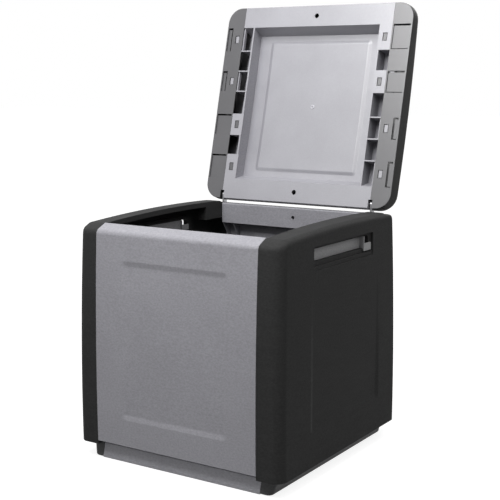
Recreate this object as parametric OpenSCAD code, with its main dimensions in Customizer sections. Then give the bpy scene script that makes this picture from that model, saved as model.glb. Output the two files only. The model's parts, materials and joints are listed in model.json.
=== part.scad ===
// Garden storage box with a hinged lid, shown open.
// X runs to the right seen from the front, Y to the back and Z up, in millimetres.
// The origin is the middle of the footprint, on the floor.

/* [Walls] */
// Width over the two side panels at their foot
body_width = 540; // [510:1:600]
// Depth over the front and back panels at their foot
body_depth = 541; // [510:1:570]
// Height of the front and back rims above the floor
rim_height = 535.5; // [450:0.5:620]
// Wall thickness of the panels and the base
wall = 3; // [2.5:0.1:3.5]
// How far each side panel leans in from foot to rim
side_taper = 6; // [0:0.5:12]
// How far each side panel swells out at half height
side_bulge = 1.5; // [0:0.1:5]
// How far the front and back panels lean in from foot to rim
front_taper = 9; // [0:0.5:12]
// How far the front and back panels swell out at half height
front_bulge = 5.5; // [0:0.1:8]
// Corner radius of the posts, seen from above
post_radius = 27; // [15:1:36]
// Height of the side panels' lower edge above the floor
side_foot = 35; // [30:1:42]
// How much higher the front and back panels' lower edge lies
panel_rise = 9; // [6:0.5:14]
// Width of the front, back and lid centre mouldings
center_width = 422; // [400:1:440]
// Gap at the seam between two mouldings
seam_gap = 0.4; // [0.2:0.1:1]

/* [Rims and flanges] */
// Distance from the panels' outer face at the foot to the inner face of their rim
rim_inset = 41.5; // [38:0.5:46]
// Slope of the front rim's bevel from the horizontal
bevel_angle = 24.5; // [12:0.5:32]
// Radius of the shoulder between the rim's top and the wall
shoulder_radius = 14; // [8:0.5:16]
// Radius of the rim's crest
crest_radius = 3; // [1:0.1:4]
// Height of the inner band that hangs from the crest
band_height = 50; // [35:1:70]
// Width of the flanges along the panels' ends
end_flange = 16; // [8:1:18]
// Width of the flanges along the front and back panels' feet
foot_flange = 38; // [34:0.5:41]
// Width of the flanges along the side panels' feet
side_flange = 42; // [30:1:46]
// Distance between the two gussets at each end of the inner band
gusset_pitch = 30; // [12:1:60]

/* [Side panel tops] */
// How far the arched top's highest point stands above the rims
arch_rise = 9; // [5:0.5:14]
// Distance of the highest point behind the middle of the box
arch_center = 60; // [0:1:90]
// Radius of the arch, seen from the side
arch_radius = 4200; // [3500:50:9000]
// Rounding of the side panel's outer top edge
top_edge_radius = 14; // [6:0.5:16]
// Depth of the lip along the top's inner edge
lip_depth = 12; // [6:0.5:16]
// Width of the rear corner housings
housing_width = 26; // [24:1:32]
// Length of the rear corner housings
housing_length = 74; // [40:1:90]
// Depth of the rear corner housings below the rim
housing_drop = 37; // [33:1:60]

/* [Pressed fields] */
// Distance of the front and back field from the panel's ends
field_margin = 68; // [40:1:110]
// Height of the field's lower edge above the floor
field_bottom = 102; // [75:1:145]
// Distance of the field's upper edge below the rim
field_drop = 71.5; // [60:0.5:120]
// Width of the sloping border round the field
field_border = 17; // [10:1:22]
// Depth of the field at its lower and upper ends
field_depth = 3; // [1:0.1:4]
// Depth of the field at half height
field_middle_depth = 0.8; // [0.4:0.1:3]
// Highest point of the side field's arched lower edge
side_field_bottom = 117; // [100:1:150]
// Radius of that arched edge
side_field_radius = 1056; // [700:4:2000]
// Length of the side field
side_field_length = 325; // [240:1:360]
// Distance of the side field behind the middle of the box
side_field_middle = 12; // [-20:1:30]
// Distance below the rim at which the side field has faded out
side_field_drop = 88; // [80:1:200]
// Depth of the side field at its lower edge
side_field_depth = 3; // [1:0.1:4]

/* [Hand slots] */
// Length of the slot
slot_length = 257; // [150:1:270]
// Height of the slot
slot_height = 28; // [20:1:32]
// Distance of the slot's upper edge below the rim
slot_drop = 33.5; // [32:0.5:45]
// Distance of the slot's middle behind the middle of the box
slot_middle = -2.5; // [-20:0.5:20]
// Corner radius of the slot
slot_radius = 8; // [3:0.5:9]
// Depth of the pocket round the slot
pocket_depth = 6; // [4:0.5:9]
// How far the pocket reaches below the slot
pocket_reach = 10; // [7:0.5:14]
// How far the pocket reaches behind the slot
pocket_tail = 15; // [9:0.5:20]
// Depth of the shallow step below the pocket
step_depth = 2; // [1:0.1:2.8]
// Height of the shallow step below the pocket
step_height = 9; // [4:0.5:12]
// Depth of the collar that lines the slot, from the wall's outer face
collar_depth = 17; // [13:0.5:24]
// Length of the lug on the insert, in the slot's lower rear corner
lug_length = 35; // [20:1:45]
// Height of the lug
lug_height = 17; // [12:0.5:20]
// How far the insert's end wall stands before the slot's rear end
insert_stop = 27; // [15:0.5:35]
// Thickness of the insert's plate and end wall
insert_wall = 2.5; // [2:0.1:3]

/* [Base] */
// Distance of the base rail's foot inside the side panel's face
rail_inset = 32; // [26:0.5:36]
// How far the rail's side spreads from foot to top
rail_spread = 8; // [4:0.5:12]
// Distance of the skirt's foot inside the front and back panels' face
skirt_inset = 15.5; // [8:0.5:17.5]
// How far the skirt leans back from foot to top
skirt_lean = 7; // [3:0.5:9]
// Height of the lip along the skirt's foot
skirt_lip = 6; // [3:0.5:9]
// How far that lip stands out
lip_step = 1; // [0.5:0.1:1.5]
// Corner radius of the base
base_radius = 14; // [11:1:20]
// Rounding of the rails' lower edge
rail_rounding = 5; // [2:0.5:6]
// Width of the ledge that the front and back panels stand on
ledge_width = 12; // [9:0.5:14]
// How far the panels' foot flanges bear on the ledge
ledge_bearing = 10; // [6:0.5:12]
// Distance between the ribs under the floor
rib_spacing = 70; // [50:1:95]

/* [Lid] */
// Distance of the lid's front edge behind the front panel's face at the foot
lid_front_inset = 25; // [20:0.5:34]
// Distance of the lid's side edges inside the side panels' face at the foot
lid_side_inset = 6.5; // [3:0.5:12]
// Thickness of the lid at its edges
lid_edge = 37; // [34:0.5:45]
// How much thicker the lid is in the middle
lid_crown = 6; // [3:0.5:10]
// Thickness of the caps at their highest point
cap_peak = 53; // [50:0.5:54]
// Distance of that point behind the middle of the lid
cap_center = 60; // [20:1:70]
// Radius of the caps' arched top, seen from the side
cap_radius = 3000; // [2600:50:5000]
// Rounding of the lid's top edge
lid_edge_radius = 19; // [10:1:20]
// Rounding of the lid's lower edge
lid_foot_radius = 2; // [0.5:0.1:2.4]
// How far the lid's side walls lean in at the underside
lid_draft = 1.5; // [0.5:0.1:3]
// Corner radius of the lid, seen from above
lid_corner_radius = 40; // [28:1:42]
// Wall thickness of the lid mouldings
lid_wall = 3; // [2.4:0.1:3.4]
// Gap between the closed lid and the side panels' highest point
lid_gap = 0.5; // [0.3:0.1:2]

/* [Lid underside] */
// Width of the flanges along the lid's front and rear edges
lid_flange = 54; // [50:1:60]
// Width of the pocket row between the tray and the seam
pocket_row = 33; // [30:1:38]
// Thickness of the tray's side walls
tray_wall = 4; // [2.5:0.1:6]
// How far the tray's front and rear walls lean in
tray_lean = 14; // [4:1:18]
// Width of the tray's border beside its field
tray_side_border = 32; // [20:1:50]
// Width of the tray's border before and behind its field
tray_end_border = 26; // [20:1:50]
// Depth of the tray's field
tray_field_depth = 3.4; // [1:0.1:3.5]
// Width of the sloping border round that field
tray_field_border = 12; // [4:1:14]
// Distance of the first rib from the lid's middle
first_rib = 30; // [22:0.5:36]
// Distance from one rib to the next
rib_pitch = 52.5; // [45:0.5:56]
// Width of the snap plates of the caps
cap_plate = 33; // [28:0.5:34]
// Width of the snap windows
window_width = 12; // [8:0.5:14]
// Length of the snap windows
window_length = 20; // [12:0.5:26]
// Depth of the sunk blocks beside the snap plates
block_depth = 2.5; // [1:0.1:2.5]
// Width of the grooves along those blocks
groove_width = 3.8; // [1:0.1:4]
// Thickness of the tongues that reach behind the snap plates
tongue = 2.5; // [2:0.1:3]
// Clearance round the tongues
tongue_gap = 0.3; // [0.2:0.1:0.6]
// Gap between a nub and the edges of its window
nub_gap = 1.6; // [0.6:0.1:2]

/* [Hinges] */
// Distance of the hinge axis before the back panel's face at the foot
hinge_inset = 29.5; // [28.5:0.5:30.5]
// Height of the hinge axis above the closed lid's underside
hinge_rise = 12; // [11:0.5:13]
// Distance from the hinge axis to the lid's rear edge
rear_overhang = 13.5; // [12.5:0.5:15]
// Opening angle of the lid
open_angle = 104; // [60:0.5:105]
// Radius of the hinge pins
pin_radius = 3; // [2:0.1:3.5]
// Running clearance of the pins in the lid
pin_clearance = 0.06; // [0.03:0.01:0.1]
// Thickness of the hinge brackets
bracket_thickness = 5; // [4:0.5:6]
// Half width of the hinge brackets
bracket_half = 7; // [5.5:0.5:7.5]
// Height of the bracket's foot plate
bracket_plate = 24; // [15:1:26]
// Gap between a bracket and the lid's bosses
boss_gap = 3; // [0.5:0.1:4]
// Thickness of the lid's bosses
boss_thickness = 5.5; // [4:0.5:8]

/* [Lock holes] */
// Radius of the holes in the lid's flanges
lid_hole_radius = 6; // [3:0.5:9]
// Distance of those holes from the lid's edges
lid_hole_inset = 28; // [20:1:34]
// Radius of the holes in the inner bands
band_hole_radius = 4.5; // [3:0.5:8]
// Distance of those holes below the rim
band_hole_drop = 24; // [14:0.5:28]

/* [Hidden] */

grey = [0.52, 0.52, 0.55];
dark = [0.17, 0.17, 0.17];
steel = [0.62, 0.62, 0.64];

// Overlap of a cut beyond the surface that it opens, and a length beyond the whole box
over = 1;
far = 1000;
// Sides of the bores and pins
round_sides = 64;

seam_x = center_width / 2;
center_length = center_width - seam_gap;
side_x = seam_x + seam_gap / 2;

// Half size of the walls at a height, leaning in and gently swollen
function swell(z) = 4 * z / rim_height * (1 - z / rim_height);
function half_depth(z) = body_depth / 2 - front_taper * z / rim_height + front_bulge * swell(z);
function half_width(z) = body_width / 2 - side_taper * z / rim_height + side_bulge * swell(z);

function arc(center, radius, from, to, steps) = [
  for (i = [0 : steps])
    let (a = from + (to - from) * i / steps)
    center + radius * [cos(a), sin(a)]
];

function reversed(list) = [for (i = [len(list) - 1 : -1 : 0]) list[i]];

// Rim of the front and back panels, in distance from the middle and height. The front
// rim's top slopes outwards, and the rear one is level.
panel_foot = side_foot + panel_rise;
rim_y = body_depth / 2 - rim_inset;
crest = [rim_y + crest_radius, rim_height - crest_radius];
function bevel_z(y, inset = 0, slope = bevel_angle) =
  crest[1] + (crest_radius - inset) / cos(slope) - (y - crest[0]) * tan(slope);
function bevel_y(z, inset = 0) =
  crest[0] + (crest[1] + (crest_radius - inset) / cos(bevel_angle) - z) / tan(bevel_angle);

// Middle of the shoulder's round, where it meets a top of that slope
function shoulder_at(slope) =
  let (
    drop = shoulder_radius / cos(slope),
    y = half_depth(bevel_z(half_depth(rim_height) - shoulder_radius, 0, slope) - drop) - shoulder_radius
  )
  [y, bevel_z(y, 0, slope) - drop];
front_shoulder = shoulder_at(bevel_angle);
rear_shoulder = shoulder_at(0);

// Heights at which the curve of a wall is stepped, up to the shoulder
wall_steps = 8;
function wall_levels(foot, shoulder) = [
  for (i = [0 : wall_steps - 1]) foot + (shoulder[1] - foot) * i / wall_steps
];

// Distance of a wall's face from the middle, over its shoulder and on along the bevel
function face_y(z, inset, shoulder, slope) =
  let (rise = z - shoulder[1], round = shoulder_radius - inset)
  rise <= 0 ? half_depth(z) - inset
  : rise < round * cos(slope) ? shoulder[0] + sqrt(pow(round, 2) - pow(rise, 2))
  : bevel_y(z, inset);

// Height of the side panels' top, arched and bevelled at both ends
arch_peak = rim_height + arch_rise;
function arch_z(y) = arch_peak - pow(y - arch_center, 2) / (2 * arch_radius);
function side_top(y) = min(arch_z(y), y > 0 ? max(rim_height, bevel_z(y)) : bevel_z(-y));

// Closed lid
underside = arch_peak + lid_gap;
hinge_y = body_depth / 2 - hinge_inset;
hinge_z = underside + hinge_rise;
lid_rear = hinge_y + rear_overhang;
lid_front = -body_depth / 2 + lid_front_inset;
lid_middle = (lid_rear + lid_front) / 2;
lid_half_length = (lid_rear - lid_front) / 2;
lid_half_width = body_width / 2 - lid_side_inset;

// A closed body through a stack of rings that all have as many points. Its two ends are
// closed by strips between the ring's first half and its second half.
module loft(rings) {
  count = len(rings[0]);
  last = (len(rings) - 1) * count;
  function strip(j, start, flip) =
    let (a = start + j, b = start + j + 1, c = start + count - 2 - j, d = start + count - 1 - j)
    flip ? [[c, b, a], [d, c, a]] : [[a, b, c], [a, c, d]];
  polyhedron(
    points = [for (ring = rings, point = ring) point],
    faces = [
      for (j = [0 : count / 2 - 2]) each concat(strip(j, 0, false), strip(j, last, true)),
      for (i = [0 : len(rings) - 2], j = [0 : count - 1])
        let (a = i * count + j, b = i * count + (j + 1) % count)
        each [[a, a + count, b + count], [a, b + count, b]]
    ]
  );
}

// A rounded rectangle of points at height z, given by its half sizes
corner_steps = 8;
function rounded_ring(half_x, half_y, radius, z) = [
  for (k = [0 : 3], i = [0 : corner_steps])
    let (
      a = 90 * (k + i / corner_steps),
      side = [k == 0 || k == 3 ? 1 : -1, k < 2 ? 1 : -1]
    )
    [
      side[0] * (half_x - radius) + radius * cos(a),
      side[1] * (half_y - radius) + radius * sin(a),
      z
    ]
];

// A flat rounded rectangle between two corners
module rounded_plate(low, high, radius) {
  size = high - low;
  translate([low[0] + radius, low[1]]) square([size[0] - 2 * radius, size[1]]);
  translate([low[0], low[1] + radius]) square([size[0], size[1] - 2 * radius]);
  for (x = [low[0] + radius, high[0] - radius], y = [low[1] + radius, high[1] - radius])
    translate([x, y]) circle(radius, $fn = 48);
}

// Lays a section of depth and height along X, from x to x + length
module along_x(x, length) {
  rotate([90, 0, 90]) translate([0, 0, x]) linear_extrude(length) children();
}

module both_sides() {
  children();
  mirror([1, 0, 0]) children();
}

// A field pressed into a wall, as the body between the wall's face and the field's floor.
// Its local X points out of the wall, Y up and Z along it. The face, the lower edge and
// the depth are functions of the place. A shift moves the whole form through the wall.
field_steps = 6;
border_steps = 4;
skim = 0.2;

// Places across a field with their share of its depth, which is eased along the borders
function field_places(from, to, border, steps) =
  let (rise = [for (i = [0 : border_steps]) let (s = i / border_steps) [border * s, s * s * (3 - 2 * s)]])
  concat(
    [for (r = rise) [from + r[0], r[1]]],
    [for (i = [1 : 1 : steps - 1]) [from + border + (to - from - 2 * border) * i / steps, 1]],
    [for (r = reversed(rise)) [to - r[0], r[1]]]
  );

module pressed_field(half, middle, steps, border, high, shift, face, low, depth) {
  loft([
    for (station = field_places(middle - half, middle + half, border, steps))
      let (
        u = station[0],
        bottom = low(u) + border,
        reach = high - border - bottom,
        levels = field_places(bottom - border, high, border, field_steps)
      )
      concat(
        [for (level = levels) [face(level[0]) + shift + over, level[0], u]],
        [for (level = reversed(levels))
          let (
            v = level[0],
            sunk = station[1] * level[1] * (depth(max(0, min(1, (v - bottom) / reach))) + skim)
          )
          [face(v) + shift + skim - sunk, v, u]]
      )
  ]);
}

// Front and back panels

module panel_section(shoulder, slope) {
  levels = wall_levels(panel_foot, shoulder);
  flange_in = half_depth(panel_foot) - foot_flange;
  polygon(concat(
    [for (z = levels) [half_depth(z), z]],
    arc(shoulder, shoulder_radius, 0, 90 - slope, 8),
    arc(crest, crest_radius, 90 - slope, 180, 6),
    [
      [rim_y, rim_height - band_height],
      [rim_y + wall, rim_height - band_height],
      [rim_y + wall, bevel_z(rim_y + wall, wall, slope)]
    ],
    arc(shoulder, shoulder_radius - wall, 90 - slope, 0, 8),
    [for (i = [wall_steps - 1 : -1 : 1]) [half_depth(levels[i]) - wall, levels[i]]],
    [
      [half_depth(panel_foot + wall) - wall, panel_foot + wall],
      [flange_in, panel_foot + wall],
      [flange_in, panel_foot]
    ]
  ));
}

// Flange along a panel's end
module end_flange_section(shoulder, slope) {
  levels = wall_levels(panel_foot, shoulder);
  top_y = shoulder[0] + shoulder_radius - end_flange;
  polygon(concat(
    [for (z = levels) [half_depth(z) - wall / 2, z]],
    arc(shoulder, shoulder_radius - wall / 2, 0, 90 - slope, 8),
    [[top_y, bevel_z(top_y, wall / 2, slope)]],
    reversed([for (z = levels) [half_depth(z) - end_flange, z]])
  ));
}

// Gusset that ties the band to the wall
module gusset_section(shoulder, slope) {
  foot = rim_height - 2 * band_height;
  band_foot = rim_height - band_height;
  polygon([
    [half_depth(foot) - wall / 2, foot],
    [half_depth(band_foot) - wall / 2, band_foot],
    [shoulder[0] + shoulder_radius - wall / 2, shoulder[1]],
    [shoulder[0], bevel_z(shoulder[0], wall / 2, slope)],
    [rim_y + wall / 2, bevel_z(rim_y + wall / 2, wall / 2, slope)],
    [rim_y + wall / 2, band_foot]
  ]);
}

module panel_field(shift) {
  rotate([90, 0, 90]) pressed_field(
    center_width / 2 - field_margin, 0, 1, field_border, rim_height - field_drop, shift,
    function(z) half_depth(z),
    function(u) field_bottom,
    function(v) field_depth - (field_depth - field_middle_depth) * 4 * v * (1 - v)
  );
}

module rim_panel(shoulder, slope) {
  end_x = center_length / 2 - wall;
  difference() {
    union() {
      along_x(-center_length / 2, center_length) panel_section(shoulder, slope);
      both_sides() {
        along_x(end_x, wall) end_flange_section(shoulder, slope);
        along_x(end_x, wall) gusset_section(shoulder, slope);
        along_x(end_x - gusset_pitch, wall) gusset_section(shoulder, slope);
      }
      panel_field(-wall);
    }
    panel_field(0);
    translate([0, rim_y - over, rim_height - band_hole_drop])
      rotate([-90, 0, 0]) cylinder(h = wall + 2 * over, r = band_hole_radius, $fn = round_sides);
  }
}

module front_panel() {
  color(grey) rotate([0, 0, 180]) rim_panel(front_shoulder, bevel_angle);
}

module back_panel() {
  color(grey) difference() {
    rim_panel(rear_shoulder, 0);
    both_sides() bracket_form(bracket_room);
  }
}

// Side panels

// The four walls as one block with rounded posts, carried on above the rims
shoulder_steps = 8;
module walls_block(foot, inset) {
  low = front_shoulder[1];
  levels = concat(
    wall_levels(foot, front_shoulder),
    [for (i = [0 : shoulder_steps]) low + (rim_height - inset - low) * sin(90 * i / shoulder_steps)],
    [arch_peak + 2 * over]
  );
  loft([
    for (z = levels)
      let (
        front = face_y(z, inset, front_shoulder, bevel_angle),
        rear = face_y(z, inset, rear_shoulder, 0),
        ring = rounded_ring(half_width(z) - inset, (front + rear) / 2, post_radius - inset, z)
      )
      [for (p = ring) p + [0, (rear - front) / 2, 0]]
  ]);
}

// A block whose top follows the arch, with its long top edge rounded
arch_steps = 12;
module arch_block(foot, inset) {
  reach = body_depth / 2;
  flare = 2 * (side_taper + front_taper + over);
  rotate([90, 0, 0]) loft([
    for (i = [0 : arch_steps])
      let (
        u = reach * (2 * i / arch_steps - 1),
        top = arch_z(-u),
        edge = half_width(top - top_edge_radius),
        center = [edge - top_edge_radius, top - top_edge_radius],
        outline = concat(
          [[0, foot], [edge + flare - inset, foot]],
          arc(center, top_edge_radius - inset, 0, 90, 8),
          [[0, top - inset]]
        )
      )
      [for (p = outline) [p[0], p[1], u]]
  ]);
}

// The inside is hollow behind the flanges and the lip along the seam
module side_hollow() {
  foot = side_foot + wall;
  open_y = half_depth(side_foot) - end_flange;
  intersection() {
    walls_block(foot, wall);
    arch_block(foot, wall);
    union() {
      translate([side_x + wall, -far / 2, 0]) cube(far);
      along_x(seam_x - over, wall + 2 * over) polygon(concat(
        [[-open_y, foot - over], [open_y, foot - over]],
        [for (i = [arch_steps : -1 : -arch_steps])
          let (y = open_y * i / arch_steps)
          [y, side_top(y) - lip_depth]]
      ));
    }
  }
}

// Opening in the foot, inside the flange that stands on the rail
module side_foot_opening() {
  inner_x = body_width / 2 - side_flange;
  open_y = half_depth(panel_foot) - foot_flange;
  translate([seam_x - over, -open_y, side_foot - over])
    cube([inner_x - seam_x + over, 2 * open_y, wall + 2 * over]);
}

slot_z = rim_height - slot_drop - slot_height / 2;
slot_face = half_width(slot_z);
slot_half = [slot_length / 2, slot_height / 2];
// How far the pocket starts behind the slot's front end, and how far it reaches above it
pocket_start = 1;
pocket_rise = 5;
step_start = 8;
pocket_low = [pocket_start - slot_half[0], -slot_half[1] - pocket_reach];
pocket_high = slot_half + [pocket_tail, pocket_rise];
step_low = pocket_low + [step_start, -step_height];

// Pushes an outline round the slot through the wall, to depths below its outer face
module through_side(deep, shallow) {
  translate([0, slot_middle, slot_z])
    along_x(slot_face - deep, deep - shallow) children();
}

module slot_backing() {
  margin = [wall, wall];
  through_side(pocket_depth + wall, wall / 2)
    rounded_plate([pocket_low[0], step_low[1]] - margin, pocket_high + margin, slot_radius);
  through_side(collar_depth, pocket_depth + wall / 2)
    rounded_plate(-slot_half - margin, slot_half + margin, slot_radius + wall);
}

module slot_openings() {
  through_side(far / 2, -far / 2) rounded_plate(-slot_half, slot_half, slot_radius);
  through_side(step_depth, -far / 2) rounded_plate(step_low, pocket_high, slot_radius / 2);
  through_side(pocket_depth, -far / 2) rounded_plate(pocket_low, pocket_high, slot_radius / 2);
}

// Insert that closes the slot: plate, end wall, lug in the pocket and lug behind the collar
insert_room = 0.2;
lug_tail = 8;
lug_drop = 6;
inner_lug_depth = 4;
inner_lug_drop = 2;
inner_lug_rise = 2;
module slot_insert() {
  room = [insert_room, insert_room];
  stop = slot_half[0] - insert_stop;
  lug_high = [slot_half[0] + lug_tail, lug_height - slot_half[1] - lug_drop];
  color(grey) {
    difference() {
      through_side(collar_depth, collar_depth - insert_wall)
        rounded_plate(room - slot_half, slot_half - room, slot_radius - insert_room);
      translate([0, slot_middle + stop + insert_wall / 2, 0]) cube(far);
    }
    through_side(collar_depth + inner_lug_depth, step_depth)
      translate([stop, insert_room - slot_half[1]])
        square([insert_wall, 2 * (slot_half[1] - insert_room)]);
    through_side(pocket_depth - insert_room, step_depth)
      rounded_plate(lug_high - [lug_length, lug_height], lug_high, 2);
    through_side(collar_depth + inner_lug_depth, collar_depth + insert_room)
      translate([stop, -slot_half[1] + inner_lug_drop])
        square([insert_stop + inner_lug_drop, slot_half[1] - inner_lug_drop + inner_lug_rise]);
  }
}

module right_slot_insert() {
  slot_insert();
}

module left_slot_insert() {
  mirror([1, 0, 0]) slot_insert();
}

module side_field(shift) {
  rotate([90, 0, 0]) pressed_field(
    side_field_length / 2, -side_field_middle, field_steps, field_border,
    rim_height - side_field_drop, shift,
    function(z) half_width(z),
    function(u) side_field_bottom - side_field_radius
      + sqrt(pow(side_field_radius, 2) - pow(u + side_field_middle, 2)),
    function(v) side_field_depth * (1 - v)
  );
}

// Box in the rear corner, open below, whose rear face carries the hinge bracket
housing_rear = rim_y + wall;
module hinge_housing() {
  front = housing_rear - housing_length;
  foot = rim_height - housing_drop;
  roof = side_top(housing_rear) - 2 * wall;
  difference() {
    along_x(side_x, housing_width) polygon([
      [front, foot], [housing_rear, foot],
      for (i = [8 : -1 : 0])
        let (y = front + housing_length * i / 8)
        [y, side_top(y) - wall / 2]
    ]);
    translate([side_x + wall, front + wall, foot - over])
      cube([housing_width - 2 * wall, housing_length - 2 * wall, roof - foot + over]);
  }
}

module side_panel() {
  color(dark) difference() {
    union() {
      difference() {
        intersection() {
          walls_block(side_foot, 0);
          arch_block(side_foot, 0);
          translate([side_x, -far / 2, 0]) cube(far);
        }
        side_hollow();
        side_foot_opening();
      }
      side_field(-wall);
      slot_backing();
      hinge_housing();
    }
    side_field(0);
    slot_openings();
    bracket_form(bracket_room);
  }
}

module right_side_panel() {
  side_panel();
}

module left_side_panel() {
  mirror([1, 0, 0]) side_panel();
}

// Base

skirt_foot = body_depth / 2 - skirt_inset;
skirt_top = skirt_foot - skirt_lean;
skirt_height = side_foot - wall;
ledge_out = half_depth(panel_foot) - foot_flange + ledge_bearing;
ledge_in = ledge_out - ledge_width;
rail_x = body_width / 2 - rail_inset;

module base_center() {
  half_section = [
    [0, side_foot], [ledge_in, side_foot], [ledge_in, panel_foot], [ledge_out, panel_foot],
    [ledge_out, skirt_height], [skirt_top, skirt_height],
    [skirt_foot - lip_step, skirt_lip], [skirt_foot, skirt_lip], [skirt_foot, 0],
    [skirt_foot - wall, 0], [skirt_foot - wall, skirt_lip - wall / 2],
    [skirt_top - wall / 2, skirt_height - wall], [ledge_out - wall, skirt_height - wall],
    [ledge_out - wall, panel_foot - wall], [ledge_in + wall, panel_foot - wall],
    [ledge_in + wall, skirt_height], [0, skirt_height]
  ];
  ribs = floor((seam_x - wall) / rib_spacing);
  color(grey) {
    along_x(-center_length / 2, center_length) {
      polygon(half_section);
      mirror([1, 0]) polygon(half_section);
    }
    for (i = [-ribs : ribs])
      translate([i * rib_spacing - wall / 2, -ledge_in - wall, 0])
        cube([wall, 2 * (ledge_in + wall), skirt_height + wall / 2]);
  }
}

// The block of both rails, with its lower edge rounded
module rail_block() {
  turn = arc([-rail_rounding, rail_rounding], rail_rounding, -90, 0, 4);
  loft([
    for (p = turn) rounded_ring(rail_x + p[0], skirt_foot + p[0], base_radius + p[0], p[1]),
    for (z = [skirt_height, side_foot]) rounded_ring(rail_x + rail_spread, skirt_top, base_radius, z)
  ]);
}

module rail_hollow() {
  foot = -rail_rounding - wall;
  loft([
    rounded_ring(rail_x + foot, skirt_foot + foot, base_radius + foot, -over),
    rounded_ring(rail_x - wall, skirt_foot - wall, base_radius - wall, rail_rounding),
    rounded_ring(rail_x + rail_spread - wall, skirt_top - wall, base_radius - wall, skirt_height)
  ]);
}

module base_rail() {
  color(dark) difference() {
    intersection() {
      rail_block();
      translate([side_x, -far / 2, -over]) cube(far);
    }
    rail_hollow();
  }
}

module right_base_rail() {
  base_rail();
}

module left_base_rail() {
  mirror([1, 0, 0]) base_rail();
}

// Hinges

bracket_room = 0.2;
bracket_foot = rim_height - 30;
bracket_reach = housing_width - 2;
plate_thickness = 4;

// The bracket's body, or with some room round it the space that it takes in the walls
module bracket_form(room) {
  half_x = bracket_thickness / 2 + room;
  half_y = bracket_half + room;
  translate([seam_x - half_x, 0, 0]) {
    translate([0, hinge_y - half_y, bracket_foot - room])
      cube([2 * half_x, 2 * half_y, hinge_z - bracket_foot + room]);
    translate([0, hinge_y, hinge_z])
      rotate([0, 90, 0]) cylinder(h = 2 * half_x, r = half_y, $fn = round_sides);
    translate([0, housing_rear, bracket_foot - room])
      cube([half_x + bracket_reach, plate_thickness + room, bracket_plate + 2 * room]);
  }
}

module pin_form(radius, half_length) {
  translate([seam_x - half_length, hinge_y, hinge_z])
    rotate([0, 90, 0]) cylinder(h = 2 * half_length, r = radius, $fn = round_sides);
}

module hinge_bracket() {
  color(steel) difference() {
    bracket_form(0);
    pin_form(pin_radius, bracket_thickness);
  }
}

notch_half = bracket_thickness / 2 + boss_gap;
pin_half = notch_half + boss_thickness - over / 2;

module hinge_pin() {
  color(steel) pin_form(pin_radius, pin_half);
}

module right_hinge_bracket() {
  hinge_bracket();
}

module left_hinge_bracket() {
  mirror([1, 0, 0]) hinge_bracket();
}

module right_hinge_pin() {
  hinge_pin();
}

module left_hinge_pin() {
  mirror([1, 0, 0]) hinge_pin();
}

// Lid, modelled closed and then turned open about the hinge axis

module opened() {
  translate([0, hinge_y, hinge_z]) rotate([-open_angle, 0, 0])
    translate([0, -hinge_y, -hinge_z]) children();
}

// Places a form that is drawn about the middle of the lid's underside
module on_lid() {
  translate([0, lid_middle, underside]) children();
}

// Height of the lid's top at a distance from its middle
crown_half = lid_half_length - lid_edge_radius;
function crown_z(y) = lid_edge + lid_crown * (1 - pow(y / crown_half, 2));

// Steps of the lid's edge up to its top edge's round, as distance from the edge and height
// over the underside, and then as distance and depth below the top
function edge_foot(inset) =
  inset > 0 ? [[lid_draft + inset, 0]]
  : arc([lid_draft + lid_foot_radius, lid_foot_radius], lid_foot_radius, 270, 180, 3);
function edge_round(inset) = [
  for (p = arc([0, 0], lid_edge_radius - inset, 0, 90, 6)) [lid_edge_radius - p[0], lid_edge_radius - p[1]]
];

crown_steps = 12;
module lid_section(foot, inset) {
  half = concat(
    [for (p = edge_foot(inset)) [lid_half_length - p[0], p[1] + foot]],
    [for (p = edge_round(inset)) [lid_half_length - p[0], lid_edge - p[1]]],
    [for (i = [1 : crown_steps]) let (y = crown_half * (1 - i / (crown_steps + 0.5))) [y, crown_z(y) - inset]]
  );
  polygon(concat(half, [for (p = reversed(half)) [-p[0], p[1]]]));
}

// Height of the caps' arched top
function cap_z(y) = cap_peak - pow(y - cap_center, 2) / (2 * cap_radius);

// A rounded rectangle's points with steps along its sides, so that it can follow the arch
side_steps = 12;
function stepped_ring(half_x, half_y, radius) =
  let (
    right = concat(
      arc([half_x - radius, radius - half_y], radius, -90, 0, corner_steps),
      [for (i = [1 : side_steps - 1]) [half_x, (half_y - radius) * (2 * i / side_steps - 1)]],
      arc([half_x - radius, half_y - radius], radius, 0, 90, corner_steps)
    )
  )
  concat(right, [for (p = reversed(right)) [-p[0], p[1]]]);

function lid_ring(inset) =
  stepped_ring(lid_half_width - inset, lid_half_length - inset, lid_corner_radius - inset);

// The whole lid as one block with rounded corners under the caps' arch
module cap_block(foot, inset) {
  loft(concat(
    [for (p = edge_foot(inset)) [for (q = lid_ring(p[0])) [q[0], q[1], p[1] + foot]]],
    [for (p = edge_round(inset)) [for (q = lid_ring(p[0])) [q[0], q[1], cap_z(q[1]) - p[1]]]]
  ));
}

tray_half = seam_x - pocket_row;
tray_end = lid_half_length - lid_flange;

// How far the flanges and bosses stay inside the lid's edge
flange_inset = lid_wall + over;

// Ribs and cells of the pocket rows, by their distance from the lid's middle
ribs_at = [for (i = [0 : 2]) first_rib + i * rib_pitch];
cells = [[ribs_at[0], ribs_at[1]], [ribs_at[2], tray_end]];
function cell_middle(cell) = (cell[0] + cell[1]) / 2;
plate_window_x = tray_half + pocket_row / 2;
cap_window_x = side_x + cap_plate / 2;

// A box on the lid's underside from one corner to the other
module lid_box(low, high) {
  translate(low) cube(high - low);
}

// A web from the underside up into the lid's crowned skin
module lid_web(x, length, from, to) {
  steps = 8;
  along_x(x, length) polygon([
    [to, 0], [from, 0],
    for (i = [0 : steps])
      let (y = from + (to - from) * i / steps)
      [y, crown_z(y) - lid_wall / 2]
  ]);
}

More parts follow.
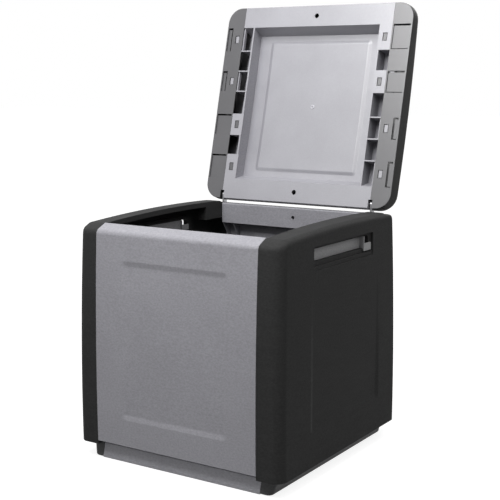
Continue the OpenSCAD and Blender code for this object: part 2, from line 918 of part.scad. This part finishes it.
module tray_end_wall() {
  foot = crown_z(tray_end) - lid_wall / 2;
  along_x(-center_length / 2, center_length) polygon([
    [tray_end, 0], [tray_end + lid_wall, 0],
    [tray_end - tray_lean + lid_wall, foot], [tray_end - tray_lean, foot]
  ]);
}

module tray_field(shift) {
  half_y = tray_end - tray_end_border;
  rotate([0, -90, 0]) pressed_field(
    tray_half - tray_side_border, 0, 1, tray_field_border, half_y, shift,
    function(y) crown_z(y),
    function(u) -half_y,
    function(v) tray_field_depth
  );
}

// Repeats the right half's form turned round to the left half
module turned_round() {
  children();
  rotate([0, 0, 180]) children();
}

// Snap window through a plate, about its middle
module snap_window(x, y) {
  translate([x - window_width / 2, y - window_length / 2, -over])
    cube([window_width, window_length, lid_wall + 2 * over]);
}

// Tongue with the nub that shows in a window
module snap_tongue(from, to, window_x, cell) {
  nub = [window_width / 2 - nub_gap, window_length / 2 - nub_gap];
  y = cell_middle(cell);
  low = lid_wall + tongue_gap;
  lid_box([from, cell[0] + lid_wall, low], [to, cell[1] - lid_wall, low + tongue]);
  lid_box(
    [window_x - nub[0], y - nub[1], lid_wall / 3],
    [window_x + nub[0], y + nub[1], low + over]
  );
}

// Boss that runs on the hinge pin
module hinge_boss(x) {
  width = bracket_half + over;
  y = hinge_y - lid_middle;
  lid_box([x, y - width, 0], [x + boss_thickness, lid_half_length - flange_inset, hinge_rise]);
  translate([x, y, hinge_rise])
    rotate([0, 90, 0]) cylinder(h = boss_thickness, r = width, $fn = round_sides);
}

// Space that a bracket sweeps through the lid's rear edge
module bracket_notch() {
  y = hinge_y - lid_middle - bracket_half - 2 * over;
  lid_box(
    [seam_x - notch_half, y, -over],
    [seam_x + notch_half, far, hinge_rise + bracket_half + 5 * over]
  );
}

module pin_bore() {
  translate([0, -lid_middle, -underside]) pin_form(pin_radius + pin_clearance, 2 * pin_half);
}

module lid_center_form() {
  seam_end = center_length / 2;
  difference() {
    union() {
      // Skin with its front and rear walls
      along_x(-seam_end, center_length) difference() {
        lid_section(0, 0);
        lid_section(-over, lid_wall);
      }
      turned_round() {
        lid_box([-seam_end, tray_end, 0], [seam_end, lid_half_length - flange_inset, lid_wall]);
        tray_end_wall();
        lid_web(tray_half, tray_wall, -tray_end, tray_end);
        for (y = ribs_at, side = [-1, 1])
          lid_web(tray_half, seam_end - tray_half, side * y - lid_wall / 2, side * y + lid_wall / 2);
        for (cell = cells) {
          // Snap plate of the front half
          lid_box([tray_half - over, -cell[1], 0], [seam_end, -cell[0], lid_wall]);
          // Tongue of the rear half and the bar that carries it
          lid_box(
            [seam_end - lid_wall, cell[0], lid_wall + tongue_gap],
            [seam_end, cell[1], lid_edge / 3]
          );
          snap_tongue(seam_end - lid_wall, side_x + cap_plate - lid_wall, cap_window_x, cell);
        }
      }
      tray_field(-lid_wall);
      // Gate mark in the middle of the tray
      translate([0, 0, crown_z(0) - lid_wall - tray_field_depth - over])
        cylinder(h = 2 * over, r = 5, $fn = round_sides);
      both_sides() hinge_boss(seam_x - notch_half - boss_thickness);
    }
    tray_field(0);
    turned_round() {
      for (cell = cells)
        snap_window(plate_window_x, -cell_middle(cell));
      translate([0, lid_half_length - lid_hole_inset, -over])
        cylinder(h = lid_wall + 2 * over, r = lid_hole_radius, $fn = round_sides);
    }
    both_sides() {
      bracket_notch();
      pin_bore();
    }
  }
}

module lid_center() {
  color(grey) opened() on_lid() lid_center_form();
}

block_x = side_x + cap_plate;
block_end = lid_half_width - 2 * lid_wall;

// Corners of the blocks on the cap's underside that are sunk: full blocks beside the
// centre's snap plates and small ones beside the cap's own
cap_blocks = [
  for (cell = cells) each [[[side_x + lid_wall, -cell[1]], [block_end, -cell[0]]], [[block_x, cell[0]], [block_end, cell[1]]]]
];

// Plates behind the sunk blocks
module block_backing() {
  for (b = cap_blocks)
    lid_box(
      [b[0][0], b[0][1] - lid_wall, block_depth],
      [b[1][0] + lid_wall, b[1][1] + lid_wall, block_depth + lid_wall]
    );
}

// Share of a groove's width that the rear grooves of the right cap have
far_groove = 0.6;

// The sunk blocks, with a groove along the edge that lies in front, on the right cap a
// narrower one along the rear edge, and one between a snap plate and its small block
module block_cuts(front) {
  deep = block_depth + lid_wall + over;
  for (b = cap_blocks) {
    edge = front > 0 ? b[0][1] : b[1][1] - groove_width;
    lid_box([b[0][0], b[0][1], -over], [b[1][0], b[1][1], block_depth]);
    lid_box([b[0][0], edge, -over], [b[1][0], edge + groove_width, deep]);
    if (front > 0) {
      far_edge = b[1][1] - far_groove * groove_width;
      lid_box([b[0][0], far_edge, -over], [b[1][0], b[1][1], deep]);
    }
  }
  for (cell = cells)
    lid_box([block_x, cell[0], -over], [block_x + groove_width, cell[1], deep]);
}

module cap_shell() {
  difference() {
    intersection() {
      cap_block(0, 0);
      translate([side_x, -far / 2, -over]) cube(far);
    }
    cap_block(lid_wall, lid_wall);
  }
  // Lip along the seam, from the centre's skin up to the cap's top
  intersection() {
    cap_block(0, 0);
    along_x(side_x, lid_wall) difference() {
      translate([-far / 2, 0]) square([far, 2 * cap_peak]);
      lid_section(-over, lid_wall);
    }
  }
}

// The right cap without its hinge boss. The left one is the same, turned round, but for
// its grooves, which lie in front as well.
module cap_form(front) {
  difference() {
    union() {
      cap_shell();
      block_backing();
      for (cell = cells)
        mirror([0, 1, 0]) {
          snap_tongue(tray_half + tray_wall + over, side_x + 2 * lid_wall, plate_window_x, cell);
          lid_box(
            [side_x, cell[0] + lid_wall, lid_wall / 2],
            [side_x + 2 * lid_wall, cell[1] - lid_wall, lid_wall + tongue]
          );
        }
    }
    block_cuts(front);
    for (cell = cells)
      snap_window(cap_window_x, cell_middle(cell));
  }
}

module hinged_cap() {
  difference() {
    union() {
      children();
      hinge_boss(seam_x + notch_half);
    }
    bracket_notch();
    pin_bore();
  }
}

module right_lid_cap() {
  color(dark) opened() on_lid() hinged_cap() cap_form(1);
}

module left_lid_cap() {
  color(dark) opened() on_lid() mirror([1, 0, 0]) hinged_cap() mirror([0, 1, 0]) cap_form(-1);
}

base_center();
left_base_rail();
right_base_rail();
front_panel();
back_panel();
left_side_panel();
right_side_panel();
left_slot_insert();
right_slot_insert();
left_hinge_bracket();
right_hinge_bracket();
left_hinge_pin();
right_hinge_pin();
lid_center();
left_lid_cap();
right_lid_cap();
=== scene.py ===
"""Looks of the garden storage box: grained grey and dark mouldings, and a satin lid underside."""
import json
import math

import bpy
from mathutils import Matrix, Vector

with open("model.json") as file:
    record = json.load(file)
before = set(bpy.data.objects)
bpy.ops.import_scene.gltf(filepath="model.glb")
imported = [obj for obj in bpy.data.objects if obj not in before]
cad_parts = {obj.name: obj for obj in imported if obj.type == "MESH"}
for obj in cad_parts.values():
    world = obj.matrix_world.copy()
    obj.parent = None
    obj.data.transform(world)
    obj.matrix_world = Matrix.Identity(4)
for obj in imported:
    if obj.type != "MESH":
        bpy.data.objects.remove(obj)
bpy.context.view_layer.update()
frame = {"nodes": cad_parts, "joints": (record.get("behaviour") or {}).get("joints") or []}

# Lengths below are in metres, angles in degrees and lamp powers in watts

# Camera, from the photograph's own perspective
CAMERA_PLACE = (1.36641, -2.08269, 0.85758)
CAMERA_TURN = 32.84
CAMERA_DIP = 9.04
CAMERA_LENS_MM = 78.83
CAMERA_SENSOR_MM = 36
CAMERA_REACH = 50

# Lamps: name, place, target, side and power
LAMPS = (
    ("key", (0.05, -0.85, 1.90), (0, 0, 0.45), 1.2, 38),
    ("fill", (-0.6, -2.1, 1.7), (0, 0, 0.45), 1.3, 7),
    ("side", (1.5, -0.2, 1.9), (0.2, 0, 0.4), 1.0, 13),
    ("left", (-1.6, 0.3, 1.7), (-0.2, 0, 0.4), 1.0, 6),
    ("rear", (0.3, 2.2, 1.7), (0, 0.3, 0.5), 1.4, 22),
)
AMBIENT_STRENGTH = 0.08
BACKGROUND_STRENGTH = 1.0
WHITE = (1, 1, 1, 1)

# Colours, as linear values
GREY = (0.262, 0.259, 0.282)
# Lighter than GREY: painted sheen on the lid's underside, laid over its real satin finish
UNDERSIDE_PAINTED_SHEEN = (0.300, 0.297, 0.323)
# Lighter than GREY: painted light on the base's skirt, which catches light from above
BASE_PAINTED_LIGHT = (0.36, 0.357, 0.385)
DARK = (0.034, 0.034, 0.034)
# Lighter than DARK: painted light on the rails, whose fronts catch light from above and off the floor
RAIL_PAINTED_LIGHT = (0.062, 0.062, 0.063)
# Lighter than DARK: painted sheen on the caps' underside, laid over their real satin finish
CAP_UNDERSIDE_PAINTED_SHEEN = (0.060, 0.059, 0.064)
INSERT = (0.24, 0.24, 0.245)
STEEL = (0.40, 0.40, 0.41)
FLOOR = (0.35, 0.35, 0.35)

# Noises: scale, detail, roughness and stretch
EVEN = (1, 1, 1)
GRAIN = (900, 3.0, 0.6, (0.35, 0.35, 1))
STREAKS = (160, 4.0, 0.6, (0.12, 0.12, 1))
CLOUDS = (9, 3.0, 0.55, EVEN)
SPECKLE = (300, 3.0, 0.75, (0.6, 0.6, 1))
RIPPLE_DRIFT = (3, 2.0, 0.55, EVEN)
SATIN_CLOUDS = (7, 4.0, 0.6, EVEN)
SATIN_SPECKLE = (420, 2.0, 0.7, EVEN)
SATIN_FLOW = (22, 3.0, 0.5, (1, 0.3, 0.3))
SATIN_GRAIN = (900, 3.0, 0.6, EVEN)
BRUSHED = (300, 4.0, 0.6, (1, 1, 0.05))
FLOOR_CLOUDS = (1.5, 2.0, 0.55, EVEN)

# Where most of a noise's values lie; a spread levels off beyond it
NOISE_RANGE = (0.25, 0.75)

# Spreads of moulded faces, as lowest and highest value
CLOUD_SHADE = (0.96, 1.04)
SPECKLE_SHADE = (0.86, 1.14)
STREAK_SHADE = (0.98, 1.02)
STREAK_ROUGHNESS = (0.50, 0.60)
CLOUD_ROUGHNESS = (-0.03, 0.03)

# Spreads of satin faces, and the level of their sheen
SATIN_CLOUD_SHADE = (0.94, 1.06)
SATIN_SPECKLE_SHADE = (0.95, 1.05)
SATIN_ROUGHNESS = (0.32, 0.37)
SATIN_FLOW_ROUGHNESS = (-0.012, 0.012)
SATIN_SPECULAR = 1.0

# Spreads of the steel and the floor
STEEL_SHADE = (0.9, 1.1)
STEEL_ROUGHNESS = (0.32, 0.45)
FLOOR_SHADE = (0.99, 1.01)

# Bumps: strength and height
GRAIN_BUMP = (0.35, 0.0004)
STREAK_BUMP = (0.12, 0.0006)
SATIN_BUMP = (0.05, 0.0004)
GATE_BUMP = (0.8, 0.0008)
STEEL_BUMP = (0.1, 0.0003)

# Sink ripples of the dark walls
RIPPLE_PITCH = 0.027
RIPPLE_HEIGHT = 0.0004

# Gate mark under the lid: a lighter ring that rises and falls between these shares of its radius
GATE_RADIUS = 0.006
GATE_RISE = (0.35, 0.5)
GATE_FALL = (1.0, 0.8)
GATE_LIGHTER = 0.5

# Half width of the patch in the lid's middle where the depth of the tray's field is read
GATE_SEARCH = 0.01

# Least share of the lid's facing direction in the normal of a satin face
UNDERSIDE_LIMIT = 0.3

# Softening of the mouldings' facets and edges
WELD_DISTANCE = 0.00001
FLAT_ANGLE = 0.05
EDGE_WIDTH = 0.0006
EDGE_SEGMENTS = 2
EDGE_ANGLE = 30
SHADING_WEIGHT = 60
SHADING_THRESHOLD = 0.01

# Floor: its glow goes from the first to the second strength between the two distances
FLOOR_SIZE = 40
FLOOR_HEIGHT = -0.0005
FLOOR_ROUGHNESS = 0.9
FLOOR_SPECULAR = 0.1
FADE_DISTANCES = (0.35, 1.3)
FADE_STRENGTHS = (0.86, 1.0)

SIDEWAYS = Vector((1, 0, 0))

GREY_WALLS = ("front_panel", "back_panel")
DARK_WALLS = ("left_side_panel", "right_side_panel")
BASE_MIDDLE = ("base_center",)
BASE_RAILS = ("left_base_rail", "right_base_rail")
SLOT_INSERTS = ("left_slot_insert", "right_slot_insert")
LID_MIDDLE = ("lid_center",)
LID_CAPS = ("left_lid_cap", "right_lid_cap")
STEEL_PARTS = ("left_hinge_bracket", "right_hinge_bracket", "left_hinge_pin", "right_hinge_pin")


def lid_facing():
    """Direction that the lid's underside faces at rest, from the hinge's travel to closed."""
    hinge = frame["joints"][0]
    closing = math.radians(max(hinge["range_deg"]))
    return Vector((0, -math.sin(closing), -math.cos(closing)))


class Nodes:
    """A material, with its shader nodes added and linked one by one."""

    def __init__(self, name):
        self.material = bpy.data.materials.new(name)
        self.material.use_nodes = True
        self.tree = self.material.node_tree
        self.shader = self.tree.nodes["Principled BSDF"]
        self.place = self.tree.nodes.new("ShaderNodeTexCoord").outputs["Object"]

    def put(self, socket, value):
        """Links another node's socket to this one, or sets this one's value."""
        if isinstance(value, bpy.types.NodeSocket):
            self.tree.links.new(value, socket)
        else:
            socket.default_value = value

    def add(self, kind, inputs, **settings):
        """Adds a node with its settings and inputs."""
        node = self.tree.nodes.new(kind)
        for key, value in settings.items():
            setattr(node, key, value)
        for key, value in inputs.items():
            self.put(node.inputs[key], value)
        return node

    def look(self, inputs):
        """Sets or links inputs of the material's shader."""
        for key, value in inputs.items():
            self.put(self.shader.inputs[key], value)

    def math(self, operation, a, b=0.0, c=0.0):
        """Result of a sum on numbers or sockets."""
        return self.add("ShaderNodeMath", {0: a, 1: b, 2: c}, operation=operation).outputs[0]

    def noise(self, scale, detail, roughness, stretch):
        """A noise that stays fixed to the piece."""
        mapping = self.add("ShaderNodeMapping", {"Vector": self.place, "Scale": stretch})
        node = self.add("ShaderNodeTexNoise", {
            "Vector": mapping.outputs[0], "Scale": scale, "Detail": detail, "Roughness": roughness,
        })
        return node.outputs["Fac"]

    def ramp(self, value, start, end, low=0.0, high=1.0, shape="LINEAR"):
        """Goes from low to high as the value goes from start to end."""
        node = self.add("ShaderNodeMapRange", {
            "Value": value, "From Min": start, "From Max": end, "To Min": low, "To Max": high,
        }, interpolation_type=shape)
        return node.outputs[0]

    def spread(self, noise, low, high):
        """Moves a noise to the range from low to high."""
        return self.ramp(noise, *NOISE_RANGE, low, high, "SMOOTHSTEP")

    def away_from(self, point):
        """Distance from a point."""
        node = self.add("ShaderNodeVectorMath", {0: self.place, 1: point}, operation="DISTANCE")
        return node.outputs["Value"]

    def tint(self, colour, factor):
        """The colour times a factor that varies over the surface."""
        grey = self.add("ShaderNodeCombineColor", {"Red": factor, "Green": factor, "Blue": factor})
        inputs = {"Factor": 1.0, "A": (*colour, 1.0), "B": grey.outputs[0]}
        node = self.add("ShaderNodeMix", inputs, data_type="RGBA", blend_type="MULTIPLY")
        return node.outputs["Result"]

    def bump(self, height, strength, distance, under=None):
        """Normal of a relief, laid over another one if that is given."""
        inputs = {"Height": height, "Strength": strength, "Distance": distance}
        if under is not None:
            inputs["Normal"] = under
        return self.add("ShaderNodeBump", inputs).outputs[0]


def moulded(name, colour, specular, grain=1.0, ripple=0.0):
    """Moulded plastic with a fine brushed grain, a faint cloudy sheen and sink ripples."""
    made = Nodes(name)
    streaks = made.noise(*STREAKS)
    clouds = made.noise(*CLOUDS)
    shade = made.math(
        "MULTIPLY", made.spread(clouds, *CLOUD_SHADE), made.spread(made.noise(*SPECKLE), *SPECKLE_SHADE)
    )
    shade = made.math("MULTIPLY", shade, made.spread(streaks, *STREAK_SHADE))
    rough = made.math(
        "ADD", made.spread(streaks, *STREAK_ROUGHNESS), made.spread(clouds, *CLOUD_ROUGHNESS)
    )
    relief = None
    for noise, (strength, height) in ((made.noise(*GRAIN), GRAIN_BUMP), (streaks, STREAK_BUMP)):
        relief = made.bump(noise, strength * grain, height, relief)
    if ripple > 0:
        level = made.add("ShaderNodeSeparateXYZ", {0: made.place}).outputs["Z"]
        uneven = made.math("MULTIPLY", made.noise(*RIPPLE_DRIFT), RIPPLE_PITCH)
        turns = made.math("DIVIDE", made.math("ADD", level, uneven), RIPPLE_PITCH)
        wave = made.math("SINE", made.math("MULTIPLY", turns, 2 * math.pi))
        relief = made.bump(wave, ripple, RIPPLE_HEIGHT, relief)
    made.look({
        "Base Color": made.tint(colour, shade), "Roughness": rough,
        "Specular IOR Level": specular, "Normal": relief,
    })
    return made.material


def satin(name, colour, gate=None):
    """Satin face of the side that the lid shows when open, with a gate mark if its place is given."""
    made = Nodes(name)
    clouds = made.noise(*SATIN_CLOUDS)
    speckle = made.noise(*SATIN_SPECKLE)
    flow = made.noise(*SATIN_FLOW)
    shade = made.math(
        "MULTIPLY", made.spread(clouds, *SATIN_CLOUD_SHADE), made.spread(speckle, *SATIN_SPECKLE_SHADE)
    )
    rough = made.math(
        "ADD", made.spread(clouds, *SATIN_ROUGHNESS), made.spread(flow, *SATIN_FLOW_ROUGHNESS)
    )
    relief = made.bump(made.noise(*SATIN_GRAIN), *SATIN_BUMP)
    if gate is not None:
        away = made.math("DIVIDE", made.away_from(gate), GATE_RADIUS)
        ring = made.math("MULTIPLY", made.ramp(away, *GATE_RISE), made.ramp(away, *GATE_FALL))
        relief = made.bump(ring, *GATE_BUMP, relief)
        shade = made.math("MULTIPLY", shade, made.math("MULTIPLY_ADD", ring, GATE_LIGHTER, 1.0))
    made.look({
        "Base Color": made.tint(colour, shade), "Roughness": rough,
        "Specular IOR Level": SATIN_SPECULAR, "Normal": relief,
    })
    return made.material


def plated_steel(name):
    """Zinc plated steel with a fine upright brushing."""
    made = Nodes(name)
    brushed = made.noise(*BRUSHED)
    made.look({
        "Base Color": made.tint(STEEL, made.spread(brushed, *STEEL_SHADE)),
        "Roughness": made.spread(brushed, *STEEL_ROUGHNESS),
        "Metallic": 1.0, "Normal": made.bump(brushed, *STEEL_BUMP),
    })
    return made.material


def soften(node):
    """Joins a moulding's facets and rounds its edges as a mould does."""
    weld = node.modifiers.new("weld", "WELD")
    weld.merge_threshold = WELD_DISTANCE
    join = node.modifiers.new("join", "DECIMATE")
    join.decimate_type = "DISSOLVE"
    join.angle_limit = math.radians(FLAT_ANGLE)
    bevel = node.modifiers.new("edges", "BEVEL")
    bevel.width = EDGE_WIDTH
    bevel.segments = EDGE_SEGMENTS
    bevel.limit_method = "ANGLE"
    bevel.angle_limit = math.radians(EDGE_ANGLE)
    shade = node.modifiers.new("shading", "WEIGHTED_NORMAL")
    shade.mode = "FACE_AREA"
    shade.weight = SHADING_WEIGHT
    shade.thresh = SHADING_THRESHOLD


def dress(names, material):
    """Gives the pieces one material."""
    for name in names:
        for slot in frame["nodes"][name].material_slots:
            slot.material = material


def dress_lid(names, outside, underside):
    """Gives the faces that the lid shows when open the second material."""
    facing = lid_facing()
    for name in names:
        mesh = frame["nodes"][name].data
        mesh.materials.clear()
        mesh.materials.append(outside)
        mesh.materials.append(underside)
        for face in mesh.polygons:
            face.material_index = int(face.normal.dot(facing) > UNDERSIDE_LIMIT)


def gate_place():
    """Middle of the tray's field, where the plastic ran into the mould."""
    points = [vertex.co for vertex in frame["nodes"]["lid_center"].data.vertices]
    facing = lid_facing()
    axes = (SIDEWAYS, facing.cross(SIDEWAYS))
    place = Vector((0, 0, 0))
    for axis in axes:
        reach = [point.dot(axis) for point in points]
        place += axis * (min(reach) + max(reach)) / 2
    near = [point for point in points if all(abs((point - place).dot(axis)) < GATE_SEARCH for axis in axes)]
    return place + facing * max(point.dot(facing) for point in near)


def seen_directly(nodes, links):
    """1 for camera, glossy and transmitted rays, which show the white background."""
    path = nodes.new("ShaderNodeLightPath")
    total = path.outputs["Is Camera Ray"]
    for name in ("Is Glossy Ray", "Is Transmission Ray"):
        greater = nodes.new("ShaderNodeMath")
        greater.operation = "MAXIMUM"
        links.new(total, greater.inputs[0])
        links.new(path.outputs[name], greater.inputs[1])
        total = greater.outputs[0]
    return total


def white_floor():
    """Pale floor that keeps the shadow and goes over into the white background."""
    made = Nodes("pale_floor")
    made.look({
        "Base Color": made.tint(FLOOR, made.spread(made.noise(*FLOOR_CLOUDS), *FLOOR_SHADE)),
        "Roughness": FLOOR_ROUGHNESS, "Specular IOR Level": FLOOR_SPECULAR,
    })
    fade = made.ramp(made.away_from((0, 0, 0)), *FADE_DISTANCES, *FADE_STRENGTHS)
    seen = seen_directly(made.tree.nodes, made.tree.links)
    glow = made.add("ShaderNodeEmission", {"Strength": made.math("MULTIPLY", seen, fade)})
    both = made.add("ShaderNodeAddShader", {0: made.shader.outputs[0], 1: glow.outputs[0]})
    made.put(made.tree.nodes["Material Output"].inputs["Surface"], both.outputs[0])
    bpy.ops.mesh.primitive_plane_add(size=FLOOR_SIZE, location=(0, 0, FLOOR_HEIGHT))
    floor = bpy.context.object
    floor.name = "floor"
    floor.data.materials.append(made.material)


def set_world():
    """Even, weak light all round, and a white background."""
    world = bpy.data.worlds.new("studio")
    bpy.context.scene.world = world
    world.use_nodes = True
    nodes, links = world.node_tree.nodes, world.node_tree.links
    nodes.clear()
    mix = nodes.new("ShaderNodeMixShader")
    links.new(seen_directly(nodes, links), mix.inputs[0])
    for slot, strength in ((1, AMBIENT_STRENGTH), (2, BACKGROUND_STRENGTH)):
        background = nodes.new("ShaderNodeBackground")
        background.inputs["Color"].default_value = WHITE
        background.inputs["Strength"].default_value = strength
        links.new(background.outputs[0], mix.inputs[slot])
    links.new(mix.outputs[0], nodes.new("ShaderNodeOutputWorld").inputs[0])


def add_object(name, data):
    """Puts a new camera or lamp into the scene."""
    made = bpy.data.objects.new(name, data)
    bpy.context.scene.collection.objects.link(made)
    return made


def set_camera():
    """Camera at the photograph's angle."""
    data = bpy.data.cameras.new("photo_view")
    data.lens = CAMERA_LENS_MM
    data.sensor_width = CAMERA_SENSOR_MM
    data.clip_end = CAMERA_REACH
    camera = add_object("photo_view", data)
    camera.location = CAMERA_PLACE
    camera.rotation_euler = (math.radians(90 - CAMERA_DIP), 0, math.radians(CAMERA_TURN))
    bpy.context.scene.camera = camera


def set_lamps():
    """Square lamps that look at their targets."""
    for name, place, target, side, power in LAMPS:
        data = bpy.data.lights.new(name, "AREA")
        data.size = side
        data.energy = power
        lamp = add_object(name, data)
        lamp.location = place
        lamp.rotation_euler = (Vector(target) - Vector(place)).to_track_quat("-Z", "Y").to_euler()


set_camera()
set_world()
set_lamps()
white_floor()

dress(GREY_WALLS, moulded("grey_walls", GREY, specular=0.4))
dress(DARK_WALLS, moulded("dark_walls", DARK, specular=0.02, grain=0.5, ripple=0.25))
# The base takes a lighter grey, which paints the light its skirt catches
dress(BASE_MIDDLE, moulded("grey_base_painted_light", BASE_PAINTED_LIGHT, specular=0.4))
# The rails take a lighter dark, which paints the light they catch
dress(BASE_RAILS, moulded("dark_rails_painted_light", RAIL_PAINTED_LIGHT, specular=0.2))
dress(SLOT_INSERTS, moulded("grey_inserts", INSERT, specular=0.4))

lid_outside = moulded("grey_lid", GREY, specular=0.3)
# The lid's underside takes the lighter grey, which paints its sheen
dress_lid(LID_MIDDLE, lid_outside, satin("grey_underside_painted_sheen", UNDERSIDE_PAINTED_SHEEN, gate_place()))
caps_outside = moulded("dark_caps", DARK, specular=0.05)
# The caps' underside takes the lighter dark, which paints its sheen
dress_lid(LID_CAPS, caps_outside, satin("dark_underside_painted_sheen", CAP_UNDERSIDE_PAINTED_SHEEN))
dress(STEEL_PARTS, plated_steel("plated_steel"))

for node in frame["nodes"].values():
    soften(node)

bpy.context.scene.view_settings.view_transform = "Standard"
